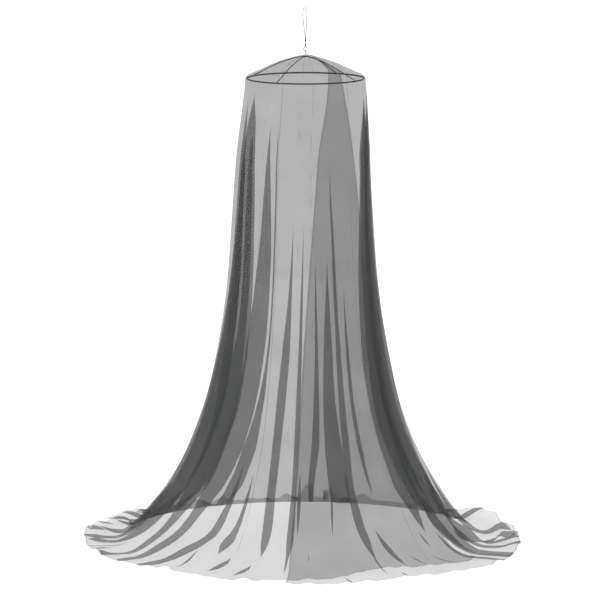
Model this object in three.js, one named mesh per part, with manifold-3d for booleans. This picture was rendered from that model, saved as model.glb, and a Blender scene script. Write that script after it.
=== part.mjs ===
// Mosquito net canopy, in millimetres, +Z up, seen from -Y.
// A sheer net hangs from a round steel hoop on four bowed ribs, spreads in pleats like a trumpet and
// lies on the floor in a ring. A clasp and a loop of cord hang the hoop from a ceiling hook.
// The origin is the top of the cord loop, where the hook holds it. Heights below are over the floor.
import * as THREE from "three";
import { mergeVertices } from "three/addons/utils/BufferGeometryUtils.js";
import Module from "manifold-3d";

const wasm = await Module();
wasm.setup();

// Driving dimensions
const hookHeight = 2730;
const hoopHeight = 2366;
const hoopRadius = 300;
const hoopWire = 8;
const ribWire = 5;
const ribAngles = [30, 120, 210, 300];
const hubRadius = 11;
const hubThick = 6;
const hubHeight = 2479;
const cordThick = 4;
const netThick = 1.2;
const seamGap = 0.3;

// Line of the net from the top of the crown, over the hoop and down to the hem: radius, height
const netLine = [
  [6, 2488], [50, 2479.5], [105, 2463.5], [165, 2442], [220, 2417], [266, 2396], [293, 2384],
  [306.5, 2373.5], [309, 2358], [312.5, 2320], [322, 2220], [336, 2050], [352, 1830], [368, 1600],
  [384, 1380], [402, 1220], [426, 1060], [461, 880], [511, 680], [574, 510], [642, 375], [711, 265],
  [782, 165], [853, 88], [925, 41], [993, 25], [1058, 21], [1115, 20],
];
// The station whose columns set how many each row has, and the stations that carry a row of the solid
const countStation = 16;
const netRows = [0, 2, 4, 6, 7, 8, 9, 11, 12, 14, 16, 17, 18, 19, 20, 21, 22, 23, 24, 27];

// The net hangs a little askew: how far its wall and then its ring on the floor stand off the axis
const wallSway = -15;
const wallFalls = [2300, 1900];
const ringSway = [-22, -35];
const ringFalls = [450, 0];

// Edges of the two front flaps, where the net opens: height, azimuth from the front towards +X
const outerEdge = [
  [0, -7], [300, -5.5], [800, -3.3], [1000, -1.6], [1250, 1], [1500, 4], [1750, 7.5], [2000, 11.5],
  [2200, 16], [2366, 18.7], [2490, 22],
];
const innerEdge = [
  [0, 411], [800, 414.5], [1500, 416.5], [1800, 412], [2030, 406.5], [2200, 401.5], [2366, 396.8],
  [2490, 392],
];
// The outer flap stands out between its edge and outerEases, the inner one lies back past innerEases
const outerStandOff = 3;
const outerEases = [50, 36];
const innerStandOff = 28;
const innerEases = [330, 352];
const flapOpens = [2300, 1800];
const flapSettles = [900, 1000];

// The hem's radius on the floor round the cloth: azimuth, radius
const hemReach = [
  [-7, 1080], [3, 1105], [12, 1095], [27, 1080], [43, 1104], [57, 1150], [68, 1123], [93, 1119],
  [115, 1130], [180, 1115], [240, 1090], [260, 1125], [273, 1113], [286, 1100], [295, 1088],
  [300, 1064], [313, 1033], [320, 1014], [332, 1012], [340, 1040], [352, 1030], [359, 1000],
  [368, 980], [379, 920], [395, 930], [406, 957], [420, 1054],
];
const hemFoot = 782; // radius at which the net comes to the floor

// Pleats: height where the pleat opens, fall until it is full, overlap of its layers, azimuth at the
// top and at the hem, half the angle of cloth in it, and the side it leans to
const pleats = [
  { opens: 2050, fall: 1300, wide: 22, top: 20.8, hem: 19, half: 1.8, lean: 1 },
  { opens: 2270, fall: 1000, wide: 70, top: 56, hem: 45.5, half: 4, lean: 1 },
  { opens: 2300, fall: 900, wide: 90, top: 64.5, hem: 54, half: 4, lean: 1 },
  { opens: 2150, fall: 1000, wide: 60, top: 73, hem: 63, half: 4, lean: 1 },
  { opens: 2000, fall: 1000, wide: 50, top: 109, hem: 117, half: 4, lean: -1 },
  { opens: 2290, fall: 900, wide: 80, top: 117.5, hem: 125.5, half: 4, lean: -1 },
  { opens: 2200, fall: 900, wide: 60, top: 126, hem: 134, half: 4, lean: -1 },
  { opens: 1350, fall: 800, wide: 14, top: 149.5, hem: 154, half: 2, lean: -1 },
  { opens: 1490, fall: 1200, wide: 78, top: 161.8, hem: 167, half: 5, lean: -1 },
  { opens: 1550, fall: 1100, wide: 26, top: 171, hem: 178.5, half: 2.5, lean: -1 },
  { opens: 1100, fall: 800, wide: 24, top: 192, hem: 191, half: 3, lean: 1 },
  { opens: 2170, fall: 1500, wide: 12, top: 206.5, hem: 204, half: 2, lean: 1 },
  { opens: 2210, fall: 900, wide: 62, top: 233.5, hem: 225.5, half: 4, lean: 1 },
  { opens: 2290, fall: 900, wide: 76, top: 242, hem: 234, half: 4, lean: 1 },
  { opens: 2000, fall: 1000, wide: 46, top: 250.5, hem: 243, half: 4, lean: 1 },
  { opens: 2150, fall: 1000, wide: 56, top: 288, hem: 284, half: 4, lean: -1 },
  { opens: 2300, fall: 900, wide: 84, top: 296.5, hem: 294, half: 4, lean: -1 },
  { opens: 2270, fall: 900, wide: 66, top: 305, hem: 303, half: 4, lean: -1 },
  { opens: 2130, fall: 1300, wide: 100, top: 326, hem: 317, half: 5.5, lean: -1 },
  { opens: 1700, fall: 900, wide: 36, top: 349.5, hem: 344, half: 3, lean: -1 },
  { opens: 1700, fall: 900, wide: 18, top: 358, hem: 355, half: 1.8, lean: -1 },
];
const pleatDepth = 0.32; // depth of a pleat's layers for each millimetre that they slide
const floorDepth = 0.1; // the same where the net lies on the floor
const floorReach = [880, 1000]; // radii between which the depth changes
const pleatRest = 0.6; // share of the overlap that is left at the hem, where the net lies flat
const restReach = [900, 1130]; // radii between which the overlap comes down to it

// Reach of a pleat's fold, in half widths of its cloth: for the first ripple, for the lap and for its root
const rippleReach = 0.2;
const lapReach = 0.48;
const rootReach = 0.12;
const waveReach = 1.54;

// Seams between the panels of net, as azimuths, and the widest column between pleats
const seams = [41, 90, 139, 184, 219, 269, 311, 339, 367];
const widestColumn = 10;
const tightestMitre = 0.4; // the least cosine between a fold and its sides

const steel = { color: 0x3b3d3e, roughness: 0.5, metalness: 0.8 };
const bright = { color: 0xa9abad, roughness: 0.25, metalness: 1 };
const net = { color: 0x3f4342, roughness: 0.9, metalness: 0, transparent: true, opacity: 0.45 };
const paleCord = { color: 0xe4e3df, roughness: 0.8, metalness: 0 };
const darkBead = { color: 0x37383a, roughness: 0.45, metalness: 0.2 };

const canopy = new THREE.Group();

function place(name, geometry, look) {
  const mesh = new THREE.Mesh(geometry, new THREE.MeshStandardMaterial(look));
  mesh.name = name;
  canopy.add(mesh);
  return mesh;
}

// Height over the floor as a height in the part's own frame
const level = (height) => height - hookHeight;

// 0 at one value and 1 at the other, which may be the lower one
function smooth(from, to, x) {
  const t = Math.min(Math.max((x - from) / (to - from), 0), 1);
  return t * t * (3 - 2 * t);
}

// Value at a place in a list of [place, value] whose places climb
function valueAt(list, place) {
  const next = list.findIndex(([p]) => p >= place);
  if (next <= 0) return list[next === 0 ? 0 : list.length - 1][1];
  const [p0, v0] = list[next - 1];
  const [p1, v1] = list[next];
  return v0 + ((v1 - v0) * (place - p0)) / (p1 - p0);
}

// The net's line as a curve in the plane of radius (x) and height (y)
const line = new THREE.CatmullRomCurve3(
  netLine.map(([r, h]) => new THREE.Vector3(r, h, 0)),
  false,
  "centripetal",
);

const hemRadius = netLine[netLine.length - 1][0];

// Azimuth of the middle of a pleat at a height
function pleatAzimuth(pleat, height) {
  const fallen = Math.min(Math.max((pleat.opens - height) / pleat.opens, 0), 1);
  return pleat.top + (pleat.hem - pleat.top) * fallen;
}

// How far a pleat slides the cloth at one place, in millimetres: out, back under itself and on again
function pleatSlide(pleat, azimuth, radius, height) {
  const x = (azimuth - pleatAzimuth(pleat, height)) / pleat.half;
  if (Math.abs(x) >= 1) return 0;
  const fallen = Math.min(Math.max((pleat.opens - height) / pleat.fall, 0), 1);
  const halfCloth = THREE.MathUtils.degToRad(pleat.half) * radius;
  const flat = 1 - (1 - pleatRest) * smooth(...restReach, radius);
  const overlap = (pleat.wide * Math.sin((fallen * Math.PI) / 2) * flat) / halfCloth;
  const onset = rippleReach * smooth(hoopHeight, pleat.opens, height);
  const reach = halfCloth * (onset + lapReach * overlap + rootReach * Math.sqrt(overlap));
  const wave = Math.sin(Math.PI * x) / 2 + Math.sin(2 * Math.PI * x) / 4;
  return -waveReach * wave * reach;
}

// Stand-off of the flaps, so that the outer one lies over the inner one
function flapStandOff(azimuth, radius, height) {
  const outer = outerStandOff * smooth(...outerEases, azimuth);
  const down = smooth(...flapOpens, height) * (1 - smooth(...flapSettles, radius) / 2);
  const inner = innerStandOff * down * smooth(...innerEases, azimuth);
  return outer - inner;
}

// Point of the net's middle surface at a station of the line and an azimuth of flat cloth
function netPoint(station, azimuth) {
  const along = station / (netLine.length - 1);
  const { x: lineRadius, y: height } = line.getPoint(along);
  const { x: run, y: rise } = line.getTangent(along);
  const spread = Math.max((lineRadius - hemFoot) / (hemRadius - hemFoot), 0);
  const radius = lineRadius + spread * (valueAt(hemReach, azimuth) - hemRadius);
  const deep = pleatDepth + (floorDepth - pleatDepth) * smooth(...floorReach, radius);
  let slide = 0;
  let depth = flapStandOff(azimuth, radius, height);
  for (const pleat of pleats) {
    const moved = pleatSlide(pleat, azimuth, radius, height);
    slide += moved;
    depth += moved * pleat.lean * deep;
  }
  const turn = THREE.MathUtils.degToRad(azimuth) + slide / radius;
  const out = radius - rise * depth;
  const onWall = smooth(...wallFalls, height);
  const onFloor = smooth(...ringFalls, height);
  const x = out * Math.sin(turn) + wallSway * onWall + (ringSway[0] - wallSway) * onFloor;
  const y = -out * Math.cos(turn) + ringSway[1] * onFloor;
  return new THREE.Vector3(x, y, level(height + run * depth));
}

// Azimuths of one row of a panel: its two edges, four columns in each pleat, and columns between
function panelColumns(panel, height, counts) {
  const marks = [valueAt(panel.from, height)];
  for (const pleat of panel.pleats) {
    const middle = pleatAzimuth(pleat, height);
    marks.push(middle - pleat.half, middle - pleat.half / 3, middle + pleat.half / 3, middle + pleat.half);
  }
  marks.push(valueAt(panel.to, height));
  const columns = [marks[0]];
  for (let i = 1; i < marks.length; i++) {
    const parts = counts ? counts[i - 1] : Math.ceil((marks[i] - marks[i - 1]) / widestColumn);
    for (let j = 1; j <= parts; j++) columns.push(marks[i - 1] + ((marks[i] - marks[i - 1]) * j) / parts);
  }
  return { columns, counts: marks.slice(1).map((m, i) => Math.ceil((m - marks[i]) / widestColumn)) };
}

// Half the thickness as a vector at a point of a grid, mitred where the cloth turns sharply
function halfThickness(grid, i, j, thick) {
  const row = grid[i];
  const above = grid[Math.max(i - 1, 0)][j];
  const below = grid[Math.min(i + 1, grid.length - 1)][j];
  const down = below.clone().sub(above);
  const before = row[j].clone().sub(row[Math.max(j - 1, 0)]);
  const after = row[Math.min(j + 1, row.length - 1)].clone().sub(row[j]);
  const sides = [before, after].filter((step) => step.lengthSq() > 0);
  const normals = sides.map((step) => down.clone().cross(step).normalize());
  const middle = normals.reduce((sum, normal) => sum.add(normal), new THREE.Vector3()).normalize();
  const spread = Math.max(middle.dot(normals[0]), tightestMitre);
  return middle.multiplyScalar(thick / 2 / spread);
}

// A thin closed solid on both sides of a grid of points, rows first
function sheetSolid(grid, thick) {
  const rows = grid.length;
  const columns = grid[0].length;
  const at = (i, j) => i * columns + j;
  const faces = [];
  for (let i = 0; i + 1 < rows; i++) {
    for (let j = 0; j + 1 < columns; j++) {
      faces.push(at(i, j), at(i + 1, j), at(i + 1, j + 1), at(i, j), at(i + 1, j + 1), at(i, j + 1));
    }
  }
  const points = [];
  for (const side of [1, -1]) {
    for (let i = 0; i < rows; i++) {
      for (let j = 0; j < columns; j++) {
        points.push(grid[i][j].clone().addScaledVector(halfThickness(grid, i, j, thick), side));
      }
    }
  }
  const under = rows * columns;
  const index = [...faces];
  for (let k = 0; k < faces.length; k += 3) {
    index.push(faces[k] + under, faces[k + 2] + under, faces[k + 1] + under);
  }
  const rim = [];
  for (let i = 0; i < rows; i++) rim.push(at(i, 0));
  for (let j = 1; j < columns; j++) rim.push(at(rows - 1, j));
  for (let i = rows - 2; i >= 0; i--) rim.push(at(i, columns - 1));
  for (let j = columns - 2; j > 0; j--) rim.push(at(0, j));
  for (let k = 0; k < rim.length; k++) {
    const a = rim[k];
    const b = rim[(k + 1) % rim.length];
    index.push(b, a, a + under, b, a + under, b + under);
  }
  const solid = new THREE.BufferGeometry().setFromPoints(points);
  solid.setIndex(index);
  return solid;
}

// One panel of net, from the crown to the hem, with half a seam gap left off at a seamed edge
function netPanel(panel) {
  const { counts } = panelColumns(panel, netLine[countStation][1]);
  const grid = netRows.map((station) => {
    const { x: radius, y: height } = line.getPoint(station / (netLine.length - 1));
    const { columns } = panelColumns(panel, height, counts);
    const trim = THREE.MathUtils.radToDeg(seamGap / 2 / radius);
    columns[0] += trim;
    columns[columns.length - 1] -= trim;
    return columns.map((azimuth) => netPoint(station, azimuth));
  });
  return sheetSolid(grid, netThick);
}

function placeNet() {
  const edges = [outerEdge, ...seams.map((azimuth) => [[0, azimuth]]), innerEdge];
  for (let i = 0; i + 1 < edges.length; i++) {
    const low = i === 0 ? -Infinity : edges[i][0][1];
    const high = edges[i + 1][0][1];
    const own = pleats.filter((pleat) => pleat.hem > low && pleat.hem < high);
    place(`net_panel_${i + 1}`, netPanel({ from: edges[i], to: edges[i + 1], pleats: own }), net);
  }
}

const wireSides = 8;

// A round wire along a curve
function wire(curve, thick, steps) {
  const section = new THREE.Shape();
  for (let i = 0; i < wireSides; i++) {
    const a = (i * 2 * Math.PI) / wireSides;
    const x = (thick / 2) * Math.cos(a);
    const y = (thick / 2) * Math.sin(a);
    if (i === 0) section.moveTo(x, y);
    else section.lineTo(x, y);
  }
  section.closePath();
  return new THREE.ExtrudeGeometry(section, { steps, extrudePath: curve, bevelEnabled: false });
}

const hoopSides = 10;
const hoopSteps = 72;

function placeHoop() {
  const hoop = new THREE.TorusGeometry(hoopRadius, hoopWire / 2, hoopSides, hoopSteps);
  place("hoop", hoop, steel).position.z = level(hoopHeight);
}

const ribSteps = 22;

// A rib bows from the hub down to the top of the hoop, just under the net
function ribCurve() {
  const foot = hoopHeight + hoopWire / 2 + seamGap;
  const points = [
    [hubRadius + seamGap, hubHeight], [52, 2471.5], [105, 2456], [163, 2435], [216, 2411], [258, 2389],
    [283, 2378], [hoopRadius - 0.1, foot + 3.5], [hoopRadius, foot],
  ];
  return new THREE.CatmullRomCurve3(points.map(([r, h]) => new THREE.Vector3(r, 0, level(h))));
}

function placeRibs() {
  ribAngles.forEach((azimuth, i) => {
    const rib = place(`rib_${i + 1}`, wire(ribCurve(), ribWire, ribSteps), steel);
    rib.rotation.z = THREE.MathUtils.degToRad(azimuth - 90);
  });
}

const hubEdge = 1;
const hubSides = 24;

function placeHub() {
  const half = hubThick / 2;
  const profile = [
    [0, -half], [hubRadius - hubEdge, -half], [hubRadius, hubEdge - half], [hubRadius, half - hubEdge],
    [hubRadius - hubEdge, half], [0, half],
  ];
  const hub = new THREE.LatheGeometry(profile.map(([r, z]) => new THREE.Vector2(r, z)), hubSides);
  hub.rotateX(Math.PI / 2);
  place("hub", hub, steel).position.z = level(hubHeight);
}

const mergeWithin = 1e-4;

function asManifold(geometry) {
  const bare = geometry.clone();
  bare.deleteAttribute("normal");
  bare.deleteAttribute("uv");
  const merged = mergeVertices(bare, mergeWithin);
  const vertProperties = merged.attributes.position.array;
  return new wasm.Manifold(new wasm.Mesh({ numProp: 3, vertProperties, triVerts: merged.index.array }));
}

function asGeometry(manifold) {
  const { vertProperties, triVerts } = manifold.getMesh();
  const geometry = new THREE.BufferGeometry();
  geometry.setAttribute("position", new THREE.BufferAttribute(vertProperties, 3));
  geometry.setIndex(new THREE.BufferAttribute(triVerts, 1));
  return geometry;
}

// Clasp ring: a teardrop of wire that holds the eye of the hub
const claspBottom = 2506.5;
const claspWire = 3.4;
const claspHalfWidth = 9.2;
const eyeWire = 3;
const eyeRadius = 5.2;
const stemRadius = 1.6;
const gateWire = 2.4;

// The eye on the hub: a ring across the clasp, on a stem that screws into the hub
function placeHubEye() {
  const eyeMiddle = claspBottom + claspWire / 2 + eyeWire / 2 + seamGap - eyeRadius;
  const ring = new THREE.TorusGeometry(eyeRadius, eyeWire / 2, 8, 24);
  ring.rotateY(Math.PI / 2);
  ring.translate(0, 0, level(eyeMiddle));
  const bottom = hubHeight + hubThick / 2 + seamGap;
  const top = eyeMiddle - eyeRadius + eyeWire / 4;
  const stem = new THREE.CylinderGeometry(stemRadius, stemRadius, top - bottom, 12);
  stem.rotateX(Math.PI / 2);
  stem.translate(0, 0, level((top + bottom) / 2));
  place("hub_eye", asGeometry(asManifold(ring).add(asManifold(stem))), bright);
}

// The clasp: a swivel neck over a teardrop hook, closed on the right by a sprung gate
const neckBottom = 2534;
const neckTop = 2553.5;

function placeClasp() {
  const profile = [
    [0, neckBottom], [3.6, neckBottom], [4.6, neckBottom + 2], [4.2, neckBottom + 5],
    [2.4, neckBottom + 10], [1.3, neckBottom + 12.5], [1.3, neckTop], [0, neckTop],
  ];
  const neck = new THREE.LatheGeometry(profile.map(([r, h]) => new THREE.Vector2(r, level(h))), 16);
  neck.rotateX(Math.PI / 2);
  place("clasp_neck", neck, bright);

  const shoulder = neckBottom - claspWire / 2 - seamGap;
  const hook = [
    [2.2, shoulder], [-1.5, shoulder], [-5.4, 2529], [-8.4, 2523.5], [-claspHalfWidth, 2517.5],
    [-7.4, 2511.5], [-3.8, 2507.6], [0, claspBottom], [3.8, 2507.6], [7.2, 2511],
  ];
  const gate = [[8.1, 2513.4], [9.1, 2517.8], [8.1, 2523.4], [5.6, 2528.3], [4.2, 2530.2]];
  const bent = (points) =>
    new THREE.CatmullRomCurve3(points.map(([x, h]) => new THREE.Vector3(x, 0, level(h))));
  place("clasp_hook", wire(bent(hook), claspWire, 36), bright);
  place("clasp_gate", wire(bent(gate), gateWire, 12), bright);
}

// The dark bead that holds both ends of the cord
const beadBottom = 2554;
const beadTop = 2567;

function placeBead() {
  const middle = (beadTop + beadBottom) / 2;
  const profile = [
    [0, beadBottom], [2.6, beadBottom], [4.3, beadBottom + 2.6], [4.7, middle], [4.3, beadTop - 2.6],
    [3.4, beadTop], [0, beadTop],
  ];
  const bead = new THREE.LatheGeometry(profile.map(([r, h]) => new THREE.Vector2(r, level(h))), 20);
  bead.rotateX(Math.PI / 2);
  place("cord_bead", bead, darkBead);
}

// The cord's route: up from the bead, over the hook and back down to the bead
function placeCord() {
  const start = beadTop + seamGap;
  const route = [
    [2.2, start], [2.4, 2578], [3, 2594], [4, 2612], [5.4, 2636], [6.8, 2660], [7.6, 2684],
    [7.2, 2705], [4.4, 2719.1], [-1.5, 2726.6], [-8.2, 2723.1], [-12.4, 2712.5], [-13.8, 2697],
    [-13, 2676], [-10.8, 2654], [-8, 2631], [-4.9, 2609], [-3.1, 2592], [-2.4, 2578], [-2.2, start],
  ];
  const curve = new THREE.CatmullRomCurve3(
    route.map(([x, h]) => new THREE.Vector3(x, 0, level(h))),
    false,
    "centripetal",
  );
  place("cord_loop", wire(curve, cordThick, 56), paleCord);
}

placeNet();
placeHoop();
placeRibs();
placeHub();
placeHubEye();
placeClasp();
placeBead();
placeCord();

export default canopy;
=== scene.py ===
import bpy
import bmesh
import math
import numpy as np
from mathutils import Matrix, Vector


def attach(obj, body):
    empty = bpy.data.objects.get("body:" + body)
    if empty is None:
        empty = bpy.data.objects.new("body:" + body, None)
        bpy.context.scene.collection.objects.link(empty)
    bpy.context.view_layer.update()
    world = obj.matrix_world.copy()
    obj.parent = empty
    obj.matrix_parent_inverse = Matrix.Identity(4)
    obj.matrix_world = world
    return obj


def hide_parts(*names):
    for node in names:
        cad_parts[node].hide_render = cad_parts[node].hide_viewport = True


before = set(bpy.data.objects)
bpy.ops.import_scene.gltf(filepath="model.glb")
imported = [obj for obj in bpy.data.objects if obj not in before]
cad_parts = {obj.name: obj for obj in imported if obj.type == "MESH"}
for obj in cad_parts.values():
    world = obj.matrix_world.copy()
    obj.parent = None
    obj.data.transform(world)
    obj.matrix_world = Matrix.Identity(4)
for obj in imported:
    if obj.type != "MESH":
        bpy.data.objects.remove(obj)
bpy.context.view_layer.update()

# Everything is in metres. The origin is the ceiling hook, so the floor lies this far under it
view = {
    "hookHeight": 2.73,
    "distance": 7.915,  # from the canopy's axis
    "aside": -0.028,  # a little left of the axis
    "eyeHeight": 1.6,
    "tilt": 2.69,  # degrees down
    "lens": 92.0,
    "sensor": 36.0,
    "clipEnd": 120.0,
}
floorLevel = -view["hookHeight"]


def addObject(name, data):
    piece = bpy.data.objects.new(name, data)
    bpy.context.scene.collection.objects.link(piece)
    return piece


def makeCamera():
    camera = bpy.data.cameras.new("studioCamera")
    camera.lens = view["lens"]
    camera.sensor_width = view["sensor"]
    camera.clip_end = view["clipEnd"]
    holder = addObject("studioCamera", camera)
    holder.location = (view["aside"], -view["distance"], floorLevel + view["eyeHeight"])
    holder.rotation_euler = (math.radians(90.0 - view["tilt"]), 0.0, 0.0)
    bpy.context.scene.camera = holder


makeCamera()
print("camera ready")


# Small helpers for meshes and materials

noiseEnds = (0.3, 0.7)  # nearly all of a noise texture's values lie between these


def meshObject(name, bm, material, smooth=True):
    mesh = bpy.data.meshes.new(name)
    bm.to_mesh(mesh)
    bm.free()
    if smooth:
        mesh.shade_smooth()
    mesh.materials.append(material)
    return addObject(name, mesh)


def newMaterial(name):
    material = bpy.data.materials.new(name)
    material.use_nodes = True
    tree = material.node_tree
    return material, tree.nodes, tree.links, tree.nodes["Principled BSDF"]


def addNode(nodes, kind, **values):
    node = nodes.new(kind)
    for key, value in values.items():
        setattr(node, key, value)
    return node


def addSum(nodes, links, *values):
    total = values[0]
    for value in values[1:]:
        node = addNode(nodes, "ShaderNodeMath", operation="ADD")
        links.new(total, node.inputs[0])
        links.new(value, node.inputs[1])
        total = node.outputs[0]
    return total


def addRange(nodes, links, value, fromLow, fromHigh, toLow, toHigh):
    node = addNode(nodes, "ShaderNodeMapRange")
    ends = {"From Min": fromLow, "From Max": fromHigh, "To Min": toLow, "To Max": toHigh}
    for slot, number in ends.items():
        node.inputs[slot].default_value = number
    links.new(value, node.inputs["Value"])
    return node.outputs["Result"]


def addNoise(nodes, links, vector, scale, detail=3.0):
    node = addNode(nodes, "ShaderNodeTexNoise")
    node.inputs["Scale"].default_value = scale
    node.inputs["Detail"].default_value = detail
    links.new(vector, node.inputs["Vector"])
    return node.outputs["Fac"]


def addBump(nodes, links, shader, height, strength, distance):
    bump = addNode(nodes, "ShaderNodeBump")
    bump.inputs["Strength"].default_value = strength
    bump.inputs["Distance"].default_value = distance
    links.new(height, bump.inputs["Height"])
    links.new(bump.outputs["Normal"], shader.inputs["Normal"])


def addColourMix(nodes, links, amount, first, second):
    mix = addNode(nodes, "ShaderNodeMix", data_type="RGBA")
    mix.inputs[6].default_value = (*first, 1.0)  # 6 and 7 are the colours' sockets
    mix.inputs[7].default_value = (*second, 1.0)
    links.new(amount, mix.inputs[0])
    return mix.outputs[2]


# Hanging cord

cordSettings = {
    "thick": 0.004,
    "rings": 5,  # edges of a quarter of its section
    "stepsPerPoint": 6,
    "colour": (0.26, 0.256, 0.245),
    # darker colour that the plait's grooves take: painted shade where the strands dip
    "shade": (0.17, 0.166, 0.155),
    "plaitTurns": 330.0,  # strands of the plait for each metre
    "plaitUneven": 0.6,
    "plaitDepth": 0.0004,
    "plaitStrength": 0.5,
    "rough": 0.85,
    # across and height over the floor: up from the bead, over the hook and down to the bead again
    "route": [
        (0.0022, 2.5673), (0.0024, 2.578), (0.0030, 2.594), (0.0040, 2.612), (0.0054, 2.636),
        (0.0068, 2.660), (0.0076, 2.684), (0.0072, 2.705), (0.0044, 2.7191), (-0.0015, 2.7266),
        (-0.0082, 2.7231), (-0.0124, 2.7125), (-0.0138, 2.697), (-0.0130, 2.676), (-0.0108, 2.654),
        (-0.0080, 2.631), (-0.0049, 2.609), (-0.0031, 2.592), (-0.0024, 2.578), (-0.0022, 2.5673),
    ],
}


# Catmull-Rom line through the points, centripetal so that it doesn't loop where they crowd
def smoothLine(points, steps):
    points = np.array(points, float)
    points = np.vstack([2 * points[0] - points[1], points, 2 * points[-1] - points[-2]])
    parts = []
    for a, b, c, d in zip(points, points[1:], points[2:], points[3:]):
        ta = 0.0
        tb = ta + np.linalg.norm(b - a) ** 0.5
        tc = tb + np.linalg.norm(c - b) ** 0.5
        td = tc + np.linalg.norm(d - c) ** 0.5
        t = np.linspace(tb, tc, steps, endpoint=False)[:, None]
        ab = (tb - t) / (tb - ta) * a + (t - ta) / (tb - ta) * b
        bc = (tc - t) / (tc - tb) * b + (t - tb) / (tc - tb) * c
        cd = (td - t) / (td - tc) * c + (t - tc) / (td - tc) * d
        abc = (tc - t) / (tc - ta) * ab + (t - ta) / (tc - ta) * bc
        bcd = (td - t) / (td - tb) * bc + (t - tb) / (td - tb) * cd
        parts.append((tc - t) / (tc - tb) * abc + (t - tb) / (tc - tb) * bcd)
    parts.append(points[-2][None])
    return np.vstack(parts)


def tubeAlong(name, points, thick, rings, material):
    curve = bpy.data.curves.new(name, "CURVE")
    curve.dimensions = "3D"
    curve.bevel_depth = thick / 2
    curve.bevel_resolution = rings
    curve.use_fill_caps = True
    spline = curve.splines.new("POLY")
    spline.points.add(len(points) - 1)
    for knot, place in zip(spline.points, points):
        knot.co = (*place, 1.0)
    spline.use_smooth = True
    curve.materials.append(material)
    return addObject(name, curve)


def cordMaterial():
    material, nodes, links, shader = newMaterial("plaitedCord")
    place = addNode(nodes, "ShaderNodeTexCoord").outputs["Object"]
    wave = addNode(nodes, "ShaderNodeTexWave", wave_type="BANDS", bands_direction="DIAGONAL")
    wave.inputs["Scale"].default_value = cordSettings["plaitTurns"]
    wave.inputs["Distortion"].default_value = cordSettings["plaitUneven"]
    links.new(place, wave.inputs["Vector"])
    # the wave's low bands, which are the bump's grooves, get the darker colour: painted groove shade
    colour = addColourMix(nodes, links, wave.outputs["Fac"], cordSettings["shade"], cordSettings["colour"])
    links.new(colour, shader.inputs["Base Color"])
    shader.inputs["Roughness"].default_value = cordSettings["rough"]
    strength, depth = cordSettings["plaitStrength"], cordSettings["plaitDepth"]
    addBump(nodes, links, shader, wave.outputs["Fac"], strength, depth)
    return material


def makeCord():
    route = [(across, 0.0, height + floorLevel) for across, height in cordSettings["route"]]
    line = smoothLine(route, cordSettings["stepsPerPoint"])
    cord = tubeAlong("hangingCord", line, cordSettings["thick"], cordSettings["rings"], cordMaterial())
    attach(cord, "root")
    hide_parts("cord_loop")


makeCord()
print("cord ready")


# Net

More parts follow.
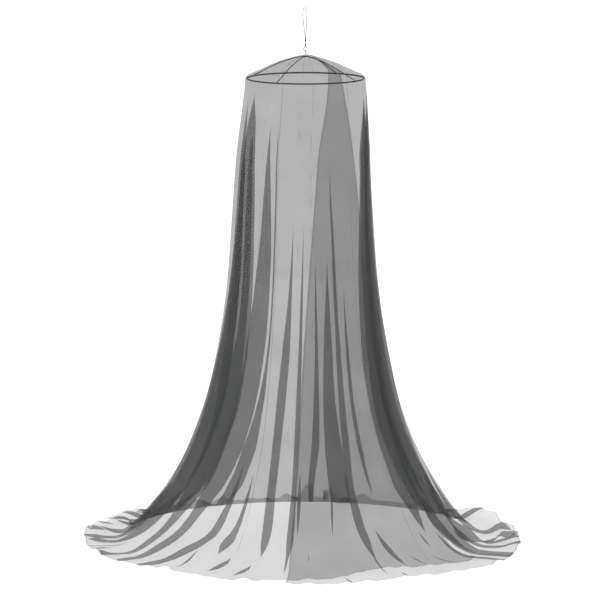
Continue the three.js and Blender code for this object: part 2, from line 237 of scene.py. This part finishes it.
# How far down the cloth a place is, in metres: 0 at the hoop, less on the crown, 2.66 at the hem.
# Azimuths are in degrees from the front (-Y) towards +X.
net = {
    "thread": (0.040, 0.042, 0.042),
    "coverage": 0.45,  # share of the cloth that its threads cover
    "meshPitch": 0.0019,
    "seamWidth": 0.0022,
    "hemWidth": 0.009,
    # radius and height over the floor, from the crown to the hem
    "line": [
        (0.006, 2.488), (0.050, 2.4795), (0.105, 2.4635), (0.165, 2.442), (0.220, 2.417),
        (0.266, 2.396), (0.293, 2.384), (0.3065, 2.3735), (0.309, 2.358), (0.3125, 2.320),
        (0.322, 2.220), (0.336, 2.050), (0.352, 1.830), (0.368, 1.600), (0.384, 1.380),
        (0.402, 1.220), (0.426, 1.060), (0.461, 0.880), (0.511, 0.680), (0.574, 0.510),
        (0.642, 0.375), (0.711, 0.265), (0.782, 0.165), (0.850, 0.085), (0.905, 0.036),
        (0.950, 0.014), (1.000, 0.008), (1.058, 0.007), (1.130, 0.007), (1.250, 0.007),
    ],
    "stepsPerPoint": 24,
    "hoopKnot": 8,  # point of that line at the outside of the hoop
    # stretches of rows: how far down each one ends, and its rows
    "rows": [(-0.06, 9), (0.02, 11), (0.38, 12), (1.50, 26), (2.20, 27), (2.6623, 40)],
    "columns": 720,
    "seams": [41, 90, 139, 184, 219, 269, 311, 339, 367],
    "wallSway": (-0.015, 0.0),  # how far the wall hangs aside, in x and y
    "ringSway": (-0.022, -0.035),  # the same for the ring on the floor
    "ruffles": [(17, 0.4), (29, 2.0), (43, 0.0)],  # number round the hem, and where each starts
    "ruffleHeight": 0.0020,
    "pleatDepth": 0.22,  # depth of a pleat's layers for the distance that they slide
    "floorDepth": 0.06,  # the same where the net lies on the floor
    "depthRadii": (0.84, 0.96),  # radii between which the depth changes
    # reach of a pleat, in half widths of its cloth: for the first ripple, the lap and its root
    "rippleReach": 0.2,
    "lapReach": 0.48,
    "rootReach": 0.12,
    "waveReach": 1.54,
    "longPleat": 1.8,  # a pleat that starts above this opens over a longer way
    "openings": (0.1, 0.03),  # length over which long and short pleats open
    "lapSoftness": 0.02,
    "columnShare": 6.5,  # how many more columns a pleat draws in
    "columnSpread": 0.95,
    "finePoints": 6000,
    # the outer flap stands out, the inner one lies back: how far, and between which azimuths
    "outerStandOff": 0.003,
    "outerEases": (50, 36),
    "innerStandOff": 0.028,
    "innerEases": (330, 352),
    "innerFalls": (2.3, 1.8),  # heights between which the inner flap falls back
    "innerSettles": (0.9, 1.0),  # radii between which half of that is lost on the floor
    "innerLies": (0.86, 0.95),  # radii between which most of it is lost
    "innerLoss": (0.5, 0.8),
    "wallFalls": (2.33, 1.9),  # heights between which the wall's sway comes in
    "ringFalls": (0.45, 0.0),  # and the ring's
    "topMargin": 0.002,  # the cloth starts this far past the line's start
    "spreadFrom": 0.4,  # radius past which the line only goes outwards
    "foot": 2.30,  # how far down the cloth comes to the floor
    "flatLength": 3.0,
    "outerSeams": (-40.0, 450.0),  # azimuths past both free edges, for the middles of their panels
    "ruffleFalls": (2.48, 2.64),  # how far down the ruffles come in
    "lowest": 0.002,  # height over the floor
    # look of the threads
    "holeEdges": (0.9, 1.9),
    "threadRange": (0.05, -0.045),
    "patchScale": 5.0,
    "patchRange": 0.02,
    "seamShare": 0.18,
    "hemShare": 0.12,
    "rough": 0.85,
    "specular": 0.2,
    "threadStrength": 0.15,
    "threadHeight": 0.0003,
    "tintShares": (0.9, 1.1),
}

# Edges of the two flaps at the front: (down, azimuth)
outerFlapEdge = [
    (-0.34, 22.0), (0.037, 20.9), (0.173, 18.4), (0.374, 13.1), (0.62, 9.6), (0.87, 6.1),
    (1.115, 3.1), (1.36, 0.6), (1.60, -1.1), (1.85, -2.2), (2.20, -3.4), (2.67, -3.8),
]
innerFlapEdge = [
    (-0.34, 392.0), (0.0, 394.5), (0.10, 397.5), (0.18, 401.3), (0.34, 410.0), (0.50, 417.0),
    (0.90, 421.0), (2.67, 419.0),
]

# Radius of the hem on the floor round the cloth: (azimuth, radius)
hemReach = [
    (-7, 1.08), (3, 1.105), (12, 1.095), (27, 1.08), (43, 1.104), (57, 1.15), (68, 1.123), (93, 1.119),
    (115, 1.13), (180, 1.115), (240, 1.09), (260, 1.125), (273, 1.113), (286, 1.10), (295, 1.088),
    (300, 1.064), (313, 1.033), (320, 1.014), (332, 1.012), (340, 1.045), (352, 1.03), (359, 1.0),
    (368, 0.98), (379, 0.92), (395, 0.93), (406, 0.957), (420, 1.054),
]
# Where the ring is puffed up: azimuth and its half, distance down and its half, height
puffs = [
    (178.0, 3.0, 2.65, 0.08, 0.090), (171.5, 2.4, 2.66, 0.06, 0.046), (161.0, 3.2, 2.66, 0.05, 0.034),
    (184.5, 2.2, 2.66, 0.06, 0.034), (204.0, 2.4, 2.66, 0.05, 0.030), (214.0, 3.0, 2.66, 0.06, 0.028),
    (117.0, 15.0, 2.64, 0.16, 0.052), (96.0, 6.0, 2.64, 0.12, 0.036),
    (85.0, 5.0, 2.64, 0.12, 0.030), (76.0, 4.0, 2.66, 0.10, 0.022),
    (243.0, 13.0, 2.64, 0.15, 0.036), (258.0, 5.0, 2.64, 0.12, 0.034),
    (266.0, 4.0, 2.64, 0.12, 0.028), (274.0, 4.0, 2.66, 0.10, 0.024), (142.0, 5.0, 2.64, 0.10, 0.026),
    (225.0, 4.0, 2.64, 0.10, 0.028), (280.0, 3.0, 2.62, 0.08, 0.018), (296.0, 3.0, 2.66, 0.06, 0.014),
]
# Waves of the hem in and out: how far, number round, start
hemScallops = [(0.006, 11, 0.0), (0.004, 23, 1.0), (0.003, 41, 2.3)]

# Pleats: half the angle of cloth in one, the side it leans to, and (down, azimuth, overlap in mm)
pleats = [
    # outer flap, from its edge to the right
    (1.2, 1, [(1.92, -1.2, 0), (2.1, -1.3, 18), (2.2, -1.4, 14), (2.33, -1.5, 0)]),
    (1.0, 1, [(2.36, 2.0, 0), (2.4, 2.2, 10), (2.44, 2.4, 0)]),
    (1.4, 1, [(1.95, 12.3, 0), (2.08, 12.0, 10), (2.2, 11.0, 10), (2.34, 10.3, 0)]),
    (1.2, -1, [(2.55, 11.2, 0), (2.6, 11.5, 14), (2.66, 12.2, 8)]),
    (1.8, 1, [(0.36, 22.1, 0), (0.62, 22.2, 8), (0.87, 23.5, 13), (1.24, 23.7, 19), (1.6, 22.8, 29),
              (1.85, 21.9, 33), (2.05, 20.2, 34), (2.2, 20.8, 38), (2.3, 21.5, 38), (2.36, 22.4, 28),
              (2.4, 22.8, 9), (2.47, 23.4, 9), (2.54, 24.0, 9), (2.6, 24.5, 0)]),
    (1.5, 1, [(2.25, 26.0, 0), (2.32, 27.3, 16), (2.38, 28.6, 24), (2.44, 30.4, 22), (2.5, 33.3, 0)]),
    (1.2, -1, [(2.56, 28.0, 0), (2.6, 27.4, 12), (2.66, 26.6, 6)]),
    (1.2, 1, [(2.42, 33.5, 0), (2.46, 36.6, 14), (2.51, 41.0, 0)]),
    (1.2, -1, [(2.55, 37.0, 0), (2.6, 37.6, 12), (2.66, 38.6, 6)]),
    (1.2, 1, [(2.42, 41.5, 0), (2.48, 46.0, 12), (2.57, 53.0, 0)]),
    (1.4, 1, [(2.3, 43.8, 0), (2.36, 45.0, 18), (2.4, 46.4, 0)]),
    (4.0, 1, [(0.08, 68.0, 0), (0.36, 65.0, 68), (0.57, 60.7, 60), (0.82, 56.3, 72), (1.12, 54.0, 100),
              (1.43, 51.8, 128), (1.73, 51.0, 130), (2.08, 50.5, 140), (2.18, 47.5, 55),
              (2.26, 47.8, 30), (2.34, 48.0, 0)]),
    (1.6, 1, [(2.3, 52.5, 0), (2.41, 54.5, 20), (2.57, 58.4, 20), (2.68, 59.3, 14)]),
    (4.0, 1, [(0.08, 79.0, 0), (0.36, 75.0, 68), (0.57, 69.5, 60), (0.82, 65.2, 72), (1.12, 65.2, 100),
              (1.43, 65.0, 128), (1.73, 64.0, 130), (2.08, 62.5, 150), (2.25, 60.5, 120),
              (2.4, 62.5, 84), (2.5, 65.5, 56), (2.68, 66.5, 56)]),
    (2.4, 1, [(1.95, 72.0, 0), (2.2, 69.0, 50), (2.36, 70.5, 60), (2.44, 74.0, 60), (2.55, 80.5, 56),
              (2.68, 84.5, 70)]),
    (1.8, 1, [(2.26, 66.0, 0), (2.4, 68.0, 34), (2.5, 72.5, 44), (2.66, 77.0, 40)]),
    (2.6, 1, [(2.0, 80.0, 0), (2.26, 77.0, 44), (2.36, 82.0, 60), (2.47, 93.0, 66), (2.68, 101.0, 86)]),
    (2.4, 1, [(2.1, 57.0, 0), (2.25, 56.0, 60), (2.4, 59.0, 56), (2.5, 62.0, 40), (2.66, 63.0, 30)]),
    (2.4, 1, [(2.1, 70.0, 0), (2.3, 67.0, 60), (2.45, 75.0, 56), (2.6, 88.0, 46), (2.68, 93.0, 46)]),
    # back right
    (3.6, -1, [(0.12, 99.0, 0), (0.35, 100.8, 52), (0.56, 107.0, 48), (0.82, 110.0, 54),
               (1.14, 109.5, 72), (1.47, 113.5, 84), (1.81, 115.4, 104), (2.09, 116.5, 118),
               (2.3, 117.0, 100), (2.66, 116.0, 80)]),
    (3.6, -1, [(0.12, 108.0, 0), (0.35, 109.6, 52), (0.56, 114.6, 48), (0.82, 118.0, 54),
               (1.14, 119.0, 72), (1.47, 123.0, 84), (1.81, 126.0, 104), (2.09, 126.2, 118),
               (2.3, 127.5, 100), (2.66, 130.0, 75)]),
    # back
    (1.8, -1, [(1.0, 145.5, 0), (1.43, 147.2, 17), (1.71, 148.4, 19), (2.03, 149.9, 24),
               (2.25, 150.9, 15), (2.45, 151.5, 0)]),
    (5.0, -1, [(0.86, 159.0, 0), (1.15, 160.5, 21), (1.43, 161.9, 46), (1.72, 163.6, 63),
               (2.04, 164.3, 92), (2.35, 164.9, 110), (2.66, 166.0, 60)]),
    (2.4, -1, [(0.82, 168.8, 0), (1.15, 169.7, 11), (1.43, 170.1, 17), (1.72, 171.4, 29),
               (2.04, 173.5, 43), (2.27, 175.9, 37), (2.66, 177.0, 24)]),
    (2.4, 1, [(0.13, 205.1, 0), (0.34, 203.8, 7), (0.56, 203.4, 7), (1.32, 203.8, 9), (1.48, 204.5, 12),
              (1.66, 205.4, 26), (1.84, 206.6, 43), (2.0, 207.2, 70), (2.28, 208.0, 76),
              (2.66, 212.0, 44)]),
    (1.6, 1, [(2.5, 181.5, 0), (2.6, 181.8, 34), (2.68, 182.0, 46)]),
    (1.4, -1, [(2.5, 172.6, 0), (2.6, 172.5, 24), (2.68, 172.4, 36)]),
    (1.5, -1, [(2.5, 190.0, 0), (2.6, 190.5, 20), (2.68, 190.8, 30)]),
    (1.5, 1, [(2.5, 196.5, 0), (2.6, 196.8, 20), (2.68, 197.0, 30)]),
    # back left
    (3.6, 1, [(0.25, 233.6, 0), (0.35, 233.4, 21), (0.56, 232.1, 33), (1.15, 230.1, 45),
              (1.31, 229.6, 50), (1.47, 229.9, 72), (1.64, 230.6, 102), (1.97, 230.6, 118),
              (2.24, 229.5, 110), (2.5, 235.0, 100), (2.66, 238.0, 90)]),
    (3.6, 1, [(0.35, 244.4, 0), (0.45, 244.2, 26), (0.69, 243.9, 36), (0.98, 245.3, 68),
              (1.3, 246.0, 90), (1.63, 246.5, 132), (1.95, 246.0, 118), (2.21, 243.0, 108),
              (2.4, 245.0, 120), (2.57, 247.5, 120), (2.68, 248.0, 110)]),
    (3.0, 1, [(2.25, 236.0, 0), (2.4, 240.0, 80), (2.55, 243.0, 100), (2.68, 244.0, 90)]),
    (3.0, 1, [(2.3, 226.0, 0), (2.42, 231.0, 80), (2.6, 234.0, 100), (2.68, 235.0, 80)]),
    (3.0, -1, [(2.28, 259.0, 0), (2.42, 253.0, 80), (2.55, 249.5, 100), (2.68, 248.5, 90)]),
    # front left, to the inner flap
    (3.0, -1, [(2.2, 268.0, 0), (2.35, 262.0, 76), (2.5, 253.0, 90), (2.68, 250.0, 60)]),
    (2.8, -1, [(2.12, 279.0, 0), (2.25, 280.0, 60), (2.35, 278.0, 86), (2.45, 268.0, 86),
               (2.54, 261.5, 66), (2.68, 261.0, 46)]),
    (2.4, -1, [(2.08, 283.0, 0), (2.2, 283.0, 60), (2.3, 282.5, 74), (2.45, 275.0, 56),
               (2.68, 268.5, 42)]),
    (4.0, -1, [(0.08, 295.5, 0), (0.29, 297.4, 22), (0.47, 299.0, 42), (0.82, 298.5, 54),
               (1.12, 297.6, 84), (1.43, 297.0, 120), (1.58, 296.0, 140), (1.74, 294.4, 165),
               (1.98, 292.6, 168), (2.09, 292.6, 150), (2.32, 291.0, 80), (2.4, 287.5, 60),
               (2.48, 280.5, 48), (2.68, 275.5, 42)]),
    (1.0, -1, [(2.44, 288.0, 0), (2.52, 286.0, 10), (2.67, 283.0, 10)]),
    (4.6, -1, [(0.08, 306.4, 0), (0.22, 307.4, 46), (0.37, 307.8, 72), (0.57, 308.7, 88),
               (0.76, 309.4, 100), (0.97, 309.2, 120), (1.27, 309.9, 136), (1.42, 309.9, 148),
               (1.57, 311.0, 140), (1.85, 310.2, 125), (2.06, 308.6, 125), (2.24, 306.0, 50),
               (2.33, 304.5, 36), (2.43, 300.0, 34), (2.66, 295.0, 36)]),
    (5.0, -1, [(0.2, 330.0, 0), (0.37, 330.6, 13), (0.57, 330.6, 32), (0.82, 330.6, 55),
               (0.97, 329.7, 70), (1.27, 328.2, 90), (1.56, 326.2, 99), (1.84, 322.6, 108),
               (2.05, 319.3, 96), (2.2, 316.5, 48), (2.36, 313.0, 42), (2.45, 307.0, 46),
               (2.6, 303.5, 42)]),
    (2.5, -1, [(1.86, 331.7, 0), (2.05, 331.0, 14), (2.2, 329.5, 34), (2.3, 328.6, 40),
               (2.36, 326.0, 42), (2.44, 319.5, 46), (2.59, 313.2, 44), (2.68, 311.0, 30)]),
    (1.2, -1, [(2.38, 325.7, 0), (2.5, 324.0, 14), (2.63, 322.3, 8)]),
    (2.4, -1, [(1.9, 337.2, 0), (2.1, 337.0, 14), (2.25, 336.6, 24), (2.34, 334.6, 52),
               (2.38, 333.6, 40), (2.43, 332.5, 0)]),
    (2.0, -1, [(2.43, 338.4, 0), (2.48, 336.6, 34), (2.54, 334.2, 34), (2.59, 331.6, 0)]),
    (3.0, -1, [(0.64, 352.9, 0), (1.115, 350.3, 20), (1.36, 348.6, 39), (1.6, 347.0, 44),
               (1.85, 346.2, 40), (2.05, 346.4, 40), (2.25, 347.4, 46), (2.34, 347.2, 36),
               (2.42, 346.6, 0)]),
    (2.0, -1, [(2.45, 345.4, 0), (2.49, 344.0, 28), (2.54, 342.0, 26), (2.6, 339.8, 0)]),
    (1.8, -1, [(0.64, 361.4, 0), (1.115, 359.3, 13), (1.36, 358.4, 18), (1.6, 357.5, 24),
               (1.85, 356.8, 26), (2.05, 356.2, 22), (2.2, 356.2, 32), (2.3, 356.0, 34),
               (2.4, 355.4, 16), (2.5, 355.0, 10), (2.6, 354.8, 0)]),
]


def smoothStep(low, high, value):
    t = np.clip((value - low) / (high - low), 0.0, 1.0)
    return t * t * (3.0 - 2.0 * t)


# Values at the rows of a list of (down, value, ...), rounded off at its corners by a bell curve
# of nine shifts
def along(points, column, down, soften=0.05):
    at, values = [point[0] for point in points], [point[column] for point in points]
    shifts = np.linspace(-2, 2, 9) * soften
    weights = np.exp(-0.5 * (shifts / soften) ** 2)
    return sum(w * np.interp(down + shift, at, values) for w, shift in zip(weights, shifts)) / weights.sum()


# The net's line, walked from the hoop: distance down, radius, height, and slopes of both
def netLine():
    line = smoothLine(net["line"], net["stepsPerPoint"])
    walked = np.r_[0.0, np.cumsum(np.linalg.norm(np.diff(line, axis=0), axis=1))]
    walked -= walked[net["hoopKnot"] * net["stepsPerPoint"]]
    slope = np.gradient(line, walked, axis=0)
    return walked, line[:, 0], line[:, 1], slope[:, 0], slope[:, 1]


# How far down each row of the sheet is, before its hem is drawn in or let out
def netRows(top):
    stops = [top] + [end for end, count in net["rows"]]
    parts = [np.linspace(a, b, count, endpoint=False)
             for a, b, (end, count) in zip(stops, stops[1:], net["rows"])]
    return np.append(np.concatenate(parts), stops[-1])


# How far down each point is, once the cloth on the floor reaches the hem's radius
def hemmed(down, columns, line):
    azimuths, reach = zip(*hemReach)
    hem = np.interp(columns[-1], azimuths, reach)
    for size, number, start in hemScallops:
        hem += size * np.sin(np.radians(columns[-1]) * number + start)
    spread = line[1] > net["spreadFrom"]
    hemDown = np.interp(hem, line[1][spread], line[0][spread])
    share = np.clip((down - net["foot"]) / (down[-1] - net["foot"]), 0.0, 1.0)[:, None]
    return down[:, None] + share * (hemDown - down[-1])


# Azimuths of the columns of each row, closer together in the pleats
def netColumns(down):
    low, high = along(outerFlapEdge, 1, down), along(innerFlapEdge, 1, down)
    columns = np.empty((len(down), net["columns"] + 1))
    for i, (a, b) in enumerate(zip(low, high)):
        fine = np.linspace(a, b, net["finePoints"])
        density = np.ones_like(fine)
        for half, lean, points in pleats:
            middle = along(points, 1, down[i:i + 1])[0]
            near = np.abs((fine - middle) / (net["columnSpread"] * half))
            density += (net["columnShare"] / half) * np.exp(-near ** 4)
        share = np.r_[0.0, np.cumsum((density[1:] + density[:-1]) / 2)]
        columns[i] = np.interp(np.linspace(0.0, share[-1], net["columns"] + 1), share, fine)
    return columns


# How far each pleat slides the cloth round, out, back under itself and on again, and its depth
def pleatShift(down, radius, columns):
    slide, depth = np.zeros_like(columns), np.zeros_like(columns)
    onFloor = smoothStep(*net["depthRadii"], radius)
    deep = net["pleatDepth"] + (net["floorDepth"] - net["pleatDepth"]) * onFloor
    for half, lean, points in pleats:
        middle = along(points, 1, down)[:, None]
        wide = np.maximum(along(points, 2, down, net["lapSoftness"]), 0.0)[:, None] / 1000
        opening = net["openings"][0 if points[0][0] < net["longPleat"] else 1]
        laps = [(at, float(lap > 0)) for at, place, lap in points]
        ripple = along(laps, 1, down, opening)[:, None]
        halfCloth = np.radians(half) * radius
        overlap = wide / halfCloth
        reach = net["rippleReach"] * ripple + net["lapReach"] * overlap
        reach += net["rootReach"] * np.sqrt(overlap)
        x = np.clip((columns - middle) / half, -1.0, 1.0)
        wave = np.sin(np.pi * x) / 2 + np.sin(2 * np.pi * x) / 4
        moved = -net["waveReach"] * wave * reach * halfCloth
        slide += moved
        depth += moved * lean * deep
    return slide, depth


# How high the puffs raise the cloth that lies on the floor
def puffHeight(down, columns):
    lift = np.zeros_like(columns)
    for azimuth, half, middle, reach, height in puffs:
        aside = np.clip(np.abs(columns - azimuth) / half, 0.0, 1.0)
        away = np.clip(np.abs(down - middle) / reach, 0.0, 1.0)[:, None]
        lift += height * np.cos(aside * np.pi / 2) ** 2 * np.cos(away * np.pi / 2) ** 2
    ruffles = sum(np.sin(np.radians(columns) * number + start) for number, start in net["ruffles"])
    return lift + net["ruffleHeight"] * ruffles ** 2 * smoothStep(*net["ruffleFalls"], down)[:, None]


# Places of the sheet's points, rows first
def netPoints(down, columns, line):
    walked = hemmed(down, columns, line)
    radius, height, run, rise = (np.interp(walked, line[0], values) for values in line[1:])
    slide, depth = pleatShift(down, radius, columns)
    settled = 1 - net["innerLoss"][0] * smoothStep(*net["innerSettles"], radius)
    settled *= 1 - net["innerLoss"][1] * smoothStep(*net["innerLies"], radius)
    under = smoothStep(*net["innerFalls"], height) * settled
    depth += net["outerStandOff"] * smoothStep(*net["outerEases"], columns)
    depth -= net["innerStandOff"] * under * smoothStep(*net["innerEases"], columns)
    turn = np.radians(columns) + slide / radius
    reach = radius - rise * depth
    onWall = smoothStep(*net["wallFalls"], height)
    onFloor = smoothStep(*net["ringFalls"], height)
    sway = [wall * onWall + (ring - wall) * onFloor for wall, ring in zip(net["wallSway"], net["ringSway"])]
    places = np.empty((*columns.shape, 3))
    places[..., 0] = reach * np.sin(turn) + sway[0]
    places[..., 1] = -reach * np.cos(turn) + sway[1]
    raised = height + run * depth + puffHeight(down, columns)
    places[..., 2] = np.maximum(raised, net["lowest"]) + floorLevel
    return places


# Lengths on the cloth, in metres: round from the middle of each panel, to the nearest seam,
# and to the nearest free edge
def threadLengths(down, columns, places):
    walked = np.zeros_like(columns)
    walked[:, 1:] = np.cumsum(np.linalg.norm(np.diff(places, axis=1), axis=2), axis=1)
    first, last = net["outerSeams"]
    edges = [first] + net["seams"] + [last]
    panel = np.searchsorted(net["seams"], (columns[:, 1:] + columns[:, :-1]) / 2)
    around = np.empty((*panel.shape, 2))
    toSeam = np.full_like(columns, np.inf)
    for i, row in enumerate(columns):
        middles = np.array([np.interp((a + b) / 2, row, walked[i]) for a, b in zip(edges, edges[1:])])
        around[i, :, 0] = walked[i, :-1] - middles[panel[i]]
        around[i, :, 1] = walked[i, 1:] - middles[panel[i]]
        for seam in net["seams"]:
            toSeam[i] = np.minimum(toSeam[i], np.abs(walked[i] - np.interp(seam, row, walked[i])))
    toEdge = np.minimum(walked, walked[:, -1:] - walked)
    toHem = np.broadcast_to(down[-1] - down[:, None], columns.shape)
    return around, toSeam, np.minimum(toEdge, toHem)


def netMaterial():
    material, nodes, links, shader = newMaterial("sheerNet")
    cloth = addNode(nodes, "ShaderNodeUVMap", uv_map="cloth").outputs["UV"]
    place = addNode(nodes, "ShaderNodeTexCoord").outputs["Object"]
    # three sets of waves at 60 degrees make six-sided holes; bands repeat every pi / 10 / scale
    sets = []
    for angle in (0.0, 60.0, 120.0):
        turned = addNode(nodes, "ShaderNodeMapping")
        turned.inputs["Rotation"].default_value = (0.0, 0.0, math.radians(angle))
        links.new(cloth, turned.inputs["Vector"])
        wave = addNode(nodes, "ShaderNodeTexWave", wave_type="BANDS", bands_direction="X")
        wave.inputs["Scale"].default_value = math.pi / 10 / net["meshPitch"]
        links.new(turned.outputs["Vector"], wave.inputs["Vector"])
        sets.append(wave.outputs["Fac"])
    holes = addSum(nodes, links, *sets)
    thick, thin = (net["coverage"] + change for change in net["threadRange"])
    threads = addRange(nodes, links, holes, *net["holeEdges"], thick, thin)
    patchy = addNoise(nodes, links, place, net["patchScale"])
    uneven = addRange(nodes, links, patchy, *noiseEnds, -net["patchRange"], net["patchRange"])
    seam = addNode(nodes, "ShaderNodeAttribute", attribute_name="toSeam").outputs["Fac"]
    edge = addNode(nodes, "ShaderNodeAttribute", attribute_name="toEdge").outputs["Fac"]
    atSeam = addRange(nodes, links, seam, net["seamWidth"], net["seamWidth"] * 0.5, 0.0, net["seamShare"])
    atHem = addRange(nodes, links, edge, net["hemWidth"], net["hemWidth"] * 0.8, 0.0, net["hemShare"])
    links.new(addSum(nodes, links, threads, uneven, atSeam, atHem), shader.inputs["Alpha"])
    dark, light = ([share * c for c in net["thread"]] for share in net["tintShares"])
    tint = addColourMix(nodes, links, patchy, dark, light)
    links.new(tint, shader.inputs["Base Color"])
    shader.inputs["Roughness"].default_value = net["rough"]
    shader.inputs["Specular IOR Level"].default_value = net["specular"]
    addBump(nodes, links, shader, holes, net["threadStrength"], net["threadHeight"])
    return material


def makeNet():
    line = netLine()
    down = netRows(line[0][0] + net["topMargin"])
    columns = netColumns(down)
    places = netPoints(down, columns, line)
    around, toSeam, toEdge = threadLengths(down, columns, places)
    rowCount, columnCount = columns.shape
    bm = bmesh.new()
    bmesh.ops.create_grid(bm, x_segments=columnCount - 1, y_segments=rowCount - 1, size=1.0)
    # the grid's points run by x first, so they are taken in the order of row and column
    order = sorted(bm.verts, key=lambda v: (-round(v.co.y, 6), v.co.x))
    for vert, place in zip(order, places.reshape(-1, 3)):
        vert.co = place
    bm.verts.index_update()
    rank = np.empty(len(order), int)
    for k, vert in enumerate(order):
        rank[vert.index] = k
    sheet = meshObject("netSheet", bm, netMaterial())
    mesh = sheet.data
    vertexOf = np.empty(len(mesh.loops), int)
    mesh.loops.foreach_get("vertex_index", vertexOf)
    row, column = np.divmod(rank[vertexOf], columnCount)
    sizes = np.empty(len(mesh.polygons), int)
    mesh.polygons.foreach_get("loop_total", sizes)
    firstColumn = np.repeat(np.minimum.reduceat(column, np.r_[0, np.cumsum(sizes)[:-1]]), sizes)
    uv = np.empty((len(mesh.loops), 2))
    uv[:, 0] = around[row, firstColumn, column - firstColumn]
    uv[:, 1] = -down[row]
    mesh.uv_layers.new(name="cloth").data.foreach_set("uv", uv.ravel().astype(np.float32))
    for name, values in (("toSeam", toSeam), ("toEdge", toEdge)):
        attribute = mesh.attributes.new(name, "FLOAT", "POINT")
        attribute.data.foreach_set("value", values.reshape(-1)[rank].astype(np.float32))
    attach(sheet, "root")
    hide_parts(*[f"net_panel_{i}" for i in range(1, 11)])


makeNet()
print("net ready")


# Hardware keeps its CAD shapes

surface = {
    "cloudScale": 90.0,
    "cloudDetail": 4.0,
    "cloudShares": (0.75, 1.25),
    "grainScale": 900.0,
    "grainDetail": 5.0,
    "grainRough": (-0.08, 0.12),
    "grainStrength": 0.25,
    "grainHeight": 0.0002,
}


def hardMaterial(name, colour, rough, metallic):
    material, nodes, links, shader = newMaterial(name)
    place = addNode(nodes, "ShaderNodeTexCoord").outputs["Object"]
    cloudy = addNoise(nodes, links, place, surface["cloudScale"], surface["cloudDetail"])
    dark, light = ([share * c for c in colour] for share in surface["cloudShares"])
    links.new(addColourMix(nodes, links, cloudy, dark, light), shader.inputs["Base Color"])
    grain = addNoise(nodes, links, place, surface["grainScale"], surface["grainDetail"])
    smoothest, roughest = (rough + change for change in surface["grainRough"])
    uneven = addRange(nodes, links, grain, *noiseEnds, smoothest, roughest)
    links.new(uneven, shader.inputs["Roughness"])
    shader.inputs["Metallic"].default_value = metallic
    addBump(nodes, links, shader, grain, surface["grainStrength"], surface["grainHeight"])
    return material


def dressNode(name, material):
    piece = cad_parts[name]
    for slot in piece.material_slots:
        slot.material = material


# colour, roughness, how metallic it is, and the pieces that have it
finishes = {
    "frameSteel": ((0.035, 0.037, 0.038), 0.5, 0.6, ("hoop", "hub", "rib_1", "rib_2", "rib_3", "rib_4")),
    "claspSteel": ((0.05, 0.05, 0.052), 0.4, 0.7, ("hub_eye", "clasp_neck", "clasp_hook", "clasp_gate")),
    "beadBlack": ((0.03, 0.03, 0.032), 0.4, 0.0, ("cord_bead",)),
}
for finish, (colour, rough, metallic, pieces) in finishes.items():
    material = hardMaterial(finish, colour, rough, metallic)
    for name in pieces:
        dressNode(name, material)
print("hardware ready")


# Studio

studio = {
    "floorHalf": 40.0,
    "floorGap": 0.001,
    "floorTints": (0.20, 0.22),
    "floorPatches": 3.0,
    "floorRough": 0.9,
    "glow": 1.045,
    "sky": 1.33,
    "softLight": 30.0,
    "lampSize": (2.5, 3.0),
    "lampPlace": (-3.5, -4.0, 1.0),
    "lampAim": (3.5, 4.0, -2.0),
}


def makeFloor():
    bm = bmesh.new()
    bmesh.ops.create_grid(bm, x_segments=1, y_segments=1, size=studio["floorHalf"])
    bmesh.ops.translate(bm, verts=bm.verts, vec=(0.0, 0.0, floorLevel - studio["floorGap"]))
    material, nodes, links, shader = newMaterial("paleFloor")
    place = addNode(nodes, "ShaderNodeTexCoord").outputs["Object"]
    dark, light = ([tint] * 3 for tint in studio["floorTints"])
    patches = addNoise(nodes, links, place, studio["floorPatches"])
    links.new(addColourMix(nodes, links, patches, dark, light), shader.inputs["Base Color"])
    shader.inputs["Roughness"].default_value = studio["floorRough"]
    shader.inputs["Emission Color"].default_value = (1.0, 1.0, 1.0, 1.0)
    shader.inputs["Emission Strength"].default_value = studio["glow"]
    meshObject("studioFloor", bm, material, smooth=False)


def makeLight():
    world = bpy.data.worlds.new("studioWorld")
    bpy.context.scene.world = world
    world.use_nodes = True
    backdrop = world.node_tree.nodes["Background"]
    backdrop.inputs["Color"].default_value = (1.0, 1.0, 1.0, 1.0)
    backdrop.inputs["Strength"].default_value = studio["sky"]
    lamp = bpy.data.lights.new("softBox", "AREA")
    lamp.shape = "RECTANGLE"
    lamp.size, lamp.size_y = studio["lampSize"]
    lamp.energy = studio["softLight"]
    holder = addObject("softBox", lamp)
    holder.location = studio["lampPlace"]
    holder.rotation_euler = Vector(studio["lampAim"]).to_track_quat("-Z", "Y").to_euler()


makeFloor()
makeLight()
scene = bpy.context.scene
scene.view_settings.view_transform = "Standard"
scene.cycles.transparent_max_bounces = 48  # a look through the pleats meets many layers
print("studio ready")
